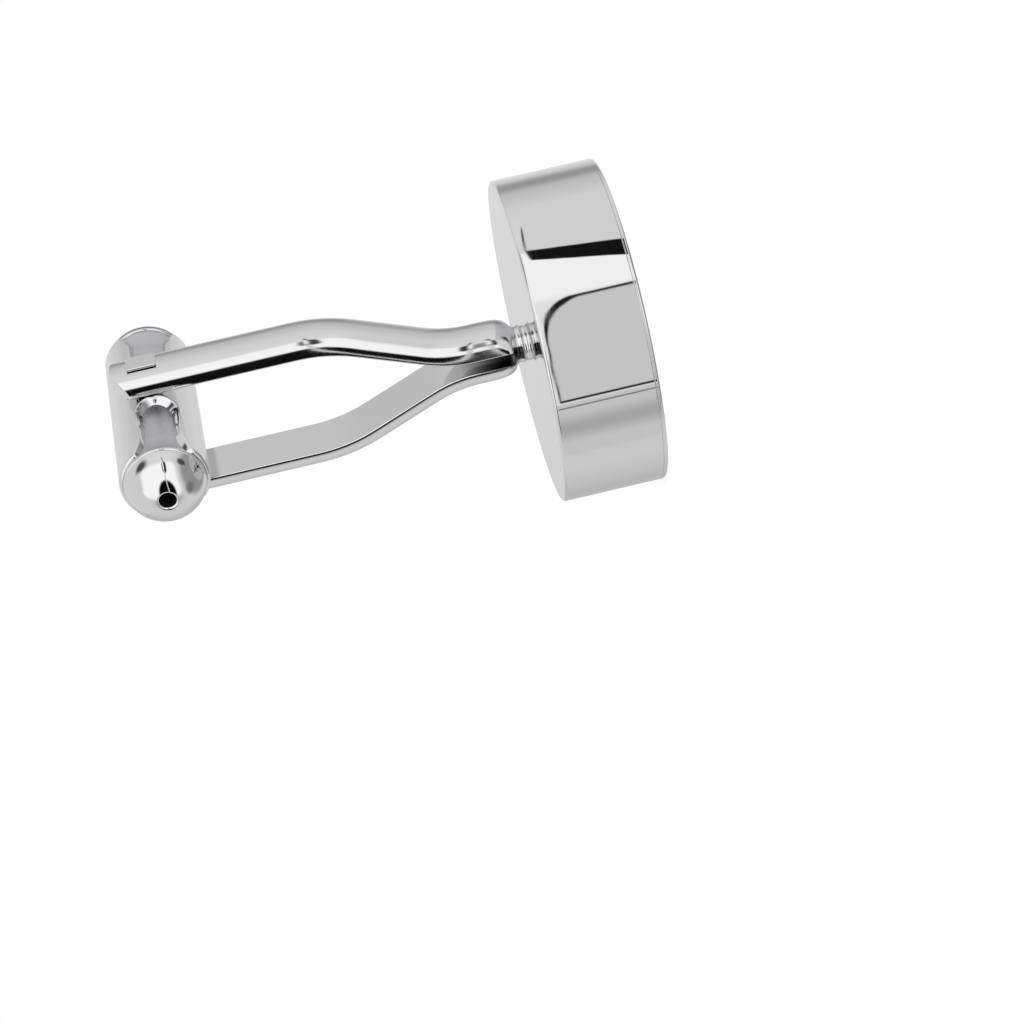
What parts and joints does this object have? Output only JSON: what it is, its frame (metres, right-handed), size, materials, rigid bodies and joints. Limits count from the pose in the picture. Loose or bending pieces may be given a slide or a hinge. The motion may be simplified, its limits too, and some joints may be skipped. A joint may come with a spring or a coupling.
{
  "type": "cufflink",
  "caption": "Round polished cufflink: a plain drum head, a folded strip stem and a bullet-shaped toggle bar that swivels on a flat-sided pin to pass through a buttonhole and lock behind it.",
  "frame": {"origin": "centre of the head's front face, which lies on the floor", "axes": "+Z along the stem from the face to the toggle, X along the pivot pin, Y along the toggle bar at rest"},
  "size_m": [0.018, 0.018, 0.0287],
  "materials": {
    "polished_plate": "mirror-polished silver-coloured plating on brass",
    "satin_plate": "satin plating on turned brass, not buffed",
    "spring_steel": "bright rolled strip"
  },
  "bodies": {
    "shank": {"face_plate": "polished_plate", "head_cup": "polished_plate", "neck_stud": "polished_plate", "fork": "polished_plate", "pivot_pin": "polished_plate"},
    "toggle": {"toggle_core": "satin_plate", "toggle_sleeve": "polished_plate", "near_nose": "polished_plate", "far_nose": "polished_plate", "detent_spring": "spring_steel"}
  },
  "joints": [
    {"name": "toggle_swivel", "type": "hinge", "parent": "shank", "child": "toggle", "pos_m": [0, 0, 0.0263], "axis": [1, 0, 0], "continuous": true, "deforming": ["detent_spring"]}
  ]
}
